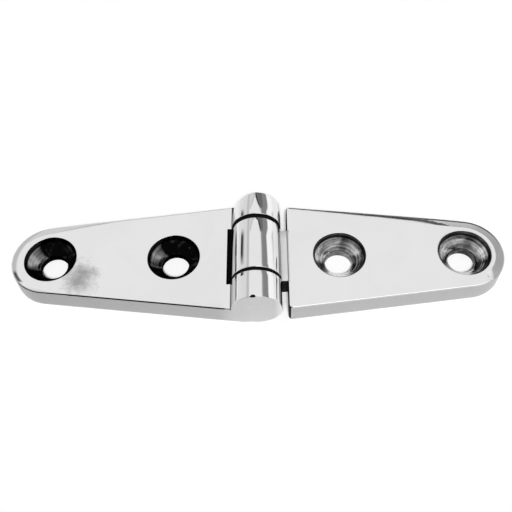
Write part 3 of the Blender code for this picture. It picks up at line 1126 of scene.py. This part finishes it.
# Greys round the barrel's axis, from (degrees towards +X from straight up, grey) stops
SKY_STOPS = [
    (-180, 0.85),
    (-98, 0.75),
    (-84, 0.92),
    (-79, 0.9),
    (-55, 0.85),
    (-46, 0.85),
    (-42, 0.62),
    (-35, 0.62),
    (-31, 0.985),
    (22, 0.985),
    (26, 0.42),
    (31, 0.28),
    (50, 0.27),
    (54, 1.15),
    (78, 1.12),
    (86, 0.8),
    (95, 0.62),
    (106, 0.32),
    (120, 0.12),
    (180, 0.12),
]
STRIPE_STOPS = [(-180, 1.0), (-79, 1.0), (-75, 0.03), (-67, 0.03), (-62, 0.48), (-55, 1.0), (180, 1.0)]
STRIPE_ALONG = ((0.543, 0.552), (0.60, 0.625))

# Turns towards +X are multiplied by the sum of these, so the panels on that side close in towards the back,
# and open out again further back
SPREAD_GROWS = (0.52, 0.60, 0.93, 1.05)
SPREAD_DROPS = (0.603, 0.625, 0.0, -0.17)

# The middle panel, which narrows to a point between a pale side and a dark one
PANEL_MIDDLE = math.radians(-5)
PANEL_HALF = math.radians(27)
PANEL_NARROWS = (0.615, 0.765)
PANEL_NARROWEST = 0.03
PANEL_SIDE_STARTS = (0.0, 0.15, 0.0, 1.0)
PANEL_EDGE = (0.0, 0.04, 0.0, 1.0)
PANEL_BEYOND = (0.04, 0.5, 0.0, 1.0)
PALE_SIDE = (0.0, 0.25, 0.3, 0.78)
PALE_SIDE_ENDS = (0.98, 1.04, 1.0, 0.0)
DARK_SIDE = (0.22, 0.6, 0.0, 0.17)
DARK_SIDE_ENDS = (1.25, 1.32, 1.0, 0.0)

# Greys in front, from (share towards +X, grey) stops, low down and high up
FRONT_LOW_STOPS = [(-1.0, 0.45), (-0.68, 0.45), (-0.5, 0.14), (-0.12, 0.14), (0.0, 0.42), (1.0, 0.42)]
FRONT_HIGH_STOPS = [(-1.0, 0.45), (-0.68, 0.45), (-0.5, 0.2), (-0.1, 0.2), (0.06, 1.7), (1.0, 1.7)]
FRONT_RISES = (0.64, 0.7, 0.0, 1.0)
FRONT_STARTS = (-0.12, 0.08, 1.0, 0.0)

SHADE_LEVEL = 0.13
BACKDROP_LEVEL = 0.97
WHITE = (1.0, 1.0, 1.0, 1.0)


def in_radians(stops):
    return [(math.radians(place), level) for place, level in stops]


def back_sky(nodes, across, along, up):
    """Soft boxes and dark gaps side by side round the barrel's axis."""
    turn = nodes.math("ARCTAN2", across, up)
    spread = nodes.total(nodes.ranged(along, *SPREAD_GROWS), nodes.ranged(along, *SPREAD_DROPS))
    turn = nodes.total(nodes.product(nodes.math("MAXIMUM", turn), spread), nodes.math("MINIMUM", turn))
    back = nodes.stepped(turn, in_radians(SKY_STOPS))

    # A narrow dark stand beside the left soft box, seen only in the middle of the barrel
    stripe = nodes.stepped(turn, in_radians(STRIPE_STOPS))
    back = nodes.product(back, nodes.blend(nodes.window(along, *STRIPE_ALONG), WHITE, stripe))

    # The middle panel narrows, with its dark side towards +X and its pale side towards -X
    from_middle = nodes.math("SUBTRACT", turn, PANEL_MIDDLE)
    share = nodes.math("DIVIDE", nodes.math("ABSOLUTE", from_middle), PANEL_HALF)
    narrowing = nodes.math("SQRT", nodes.ranged(along, *PANEL_NARROWS, 0.0, 1.0))
    width = nodes.rest(nodes.product(narrowing, 1.0 - PANEL_NARROWEST))
    outside = nodes.math("SUBTRACT", share, width)
    past = nodes.product(nodes.ranged(outside, *PANEL_EDGE), nodes.ranged(narrowing, *PANEL_SIDE_STARTS))
    beyond = nodes.ranged(outside, *PANEL_BEYOND)
    right = nodes.ranged(from_middle, -0.01, 0.01, 0.0, 1.0)
    inside = nodes.blend(right, nodes.ranged(share, *PALE_SIDE_ENDS), nodes.ranged(share, *DARK_SIDE_ENDS))
    dark_side = nodes.product(nodes.ranged(beyond, *DARK_SIDE), right)
    pale_side = nodes.product(nodes.ranged(beyond, *PALE_SIDE), nodes.rest(right))
    return nodes.blend(nodes.product(past, inside), back, nodes.total(dark_side, pale_side))


def studio_sky():
    """Soft boxes for the steel to reflect, a dim even fill for the floor and a plain backdrop."""
    world = bpy.data.worlds.new("studio")
    bpy.context.scene.world = world
    world.use_nodes = True
    world.node_tree.nodes.clear()
    nodes = Nodes(world.node_tree)
    across, along, up = nodes.parts("Generated")
    low, high = nodes.stepped(across, FRONT_LOW_STOPS), nodes.stepped(across, FRONT_HIGH_STOPS)
    front = nodes.blend(nodes.ranged(up, *FRONT_RISES), low, high)
    in_front = nodes.ranged(along, *FRONT_STARTS, "SMOOTHSTEP")
    colour = nodes.blend(in_front, back_sky(nodes, across, along, up), front)

    def background(colour, strength):
        return nodes.add("ShaderNodeBackground", None, {"Color": colour, "Strength": strength}).outputs[0]

    def chosen(ray, otherwise, surface):
        factor = nodes.add("ShaderNodeLightPath").outputs[ray]
        return nodes.add("ShaderNodeMixShader", None, {0: factor, 1: otherwise, 2: surface}).outputs[0]

    lit = chosen("Is Diffuse Ray", background(colour, 1.0), background(WHITE, SHADE_LEVEL))
    seen = chosen("Is Camera Ray", lit, background(WHITE, BACKDROP_LEVEL))
    nodes.add("ShaderNodeOutputWorld", None, {"Surface": seen})


def key_light():
    """A broad soft key from the camera's direction; it lights the floor and stays out of the reflections."""
    data = bpy.data.lights.new("key", "SUN")
    data.energy = KEY_STRENGTH
    data.angle = KEY_SOFTNESS
    light = linked("key", data)
    light.rotation_euler = (math.pi / 2 - CAMERA_ELEVATION, 0.0, CAMERA_AZIMUTH)
    light.visible_glossy = False


def make_floor():
    build = Builder()
    build.cap(build.ring([(x, y, 0.0) for x, y in ((-1, -1), (1, -1), (1, 1), (-1, 1))]))
    mesh = build.mesh("floor")
    mesh.transform(Matrix.Scale(FLOOR_HALF, 4))
    floor = linked("floor", mesh)
    floor.location.z = -FLOOR_DROP
    mesh.materials.append(pale_floor())


def make_camera():
    data = bpy.data.cameras.new("camera")
    data.lens = CAMERA_LENS
    data.sensor_width = SENSOR_WIDTH
    data.clip_start = CLIP_START
    data.clip_end = CLIP_END
    camera = linked("camera", data)
    level = math.cos(CAMERA_ELEVATION)
    across, along = math.sin(CAMERA_AZIMUTH) * level, -math.cos(CAMERA_AZIMUTH) * level
    back = Vector((across, along, math.sin(CAMERA_ELEVATION)))
    turn = (-back).to_track_quat("-Z", "Y").to_matrix().to_4x4()
    roll = Matrix.Rotation(CAMERA_ROLL, 4, "Z")
    camera.matrix_world = Matrix.Translation(CAMERA_TARGET + back * CAMERA_DISTANCE) @ turn @ roll
    bpy.context.scene.camera = camera


def main():
    # The left holes take the copy painted nearly black as shade, the right ones the lit copy
    shaded_holes, lit_holes = machined_steel("machined_painted_shade", True), machined_steel("machined_steel", False)
    # dark is the near-black painted shade for the faces inside the joint
    polished, satin, dark, rim = polished_steel(), satin_steel(), joint_painted_shade(), rim_painted_reflection()
    pin_steel, nylon = ground_steel(), black_nylon()

    left = make_left_leaf()
    right = make_right_leaf()
    sides = (
        (left, "left_side", "left_leaf", shaded_holes, left_finish),
        (right, "right_side", "right_leaf", lit_holes, right_finish),
    )
    for leaf, body, node, machined, rule in sides:
        finish_shading(leaf, STEEL_SHARP, FLAT_PLANES)
        sort_surfaces(leaf, [polished, machined, satin, dark, rim], rule)
        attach(leaf, body)
        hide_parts(node)

    pin = make_pin()
    pin.data.materials.append(pin_steel)
    finish_shading(pin, STEEL_SHARP)
    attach(pin, "left_side")
    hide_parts("hinge_pin")

    for node in ("washer_near", "washer_far"):
        low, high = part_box(node)
        washer = make_washer(node + "_nylon", low.y, high.y)
        washer.data.materials.append(nylon)
        finish_shading(washer, NYLON_SHARP)
        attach(washer, "left_side")
        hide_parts(node)

    make_floor()
    studio_sky()
    key_light()
    bpy.context.scene.view_settings.view_transform = "Standard"
    make_camera()


main()
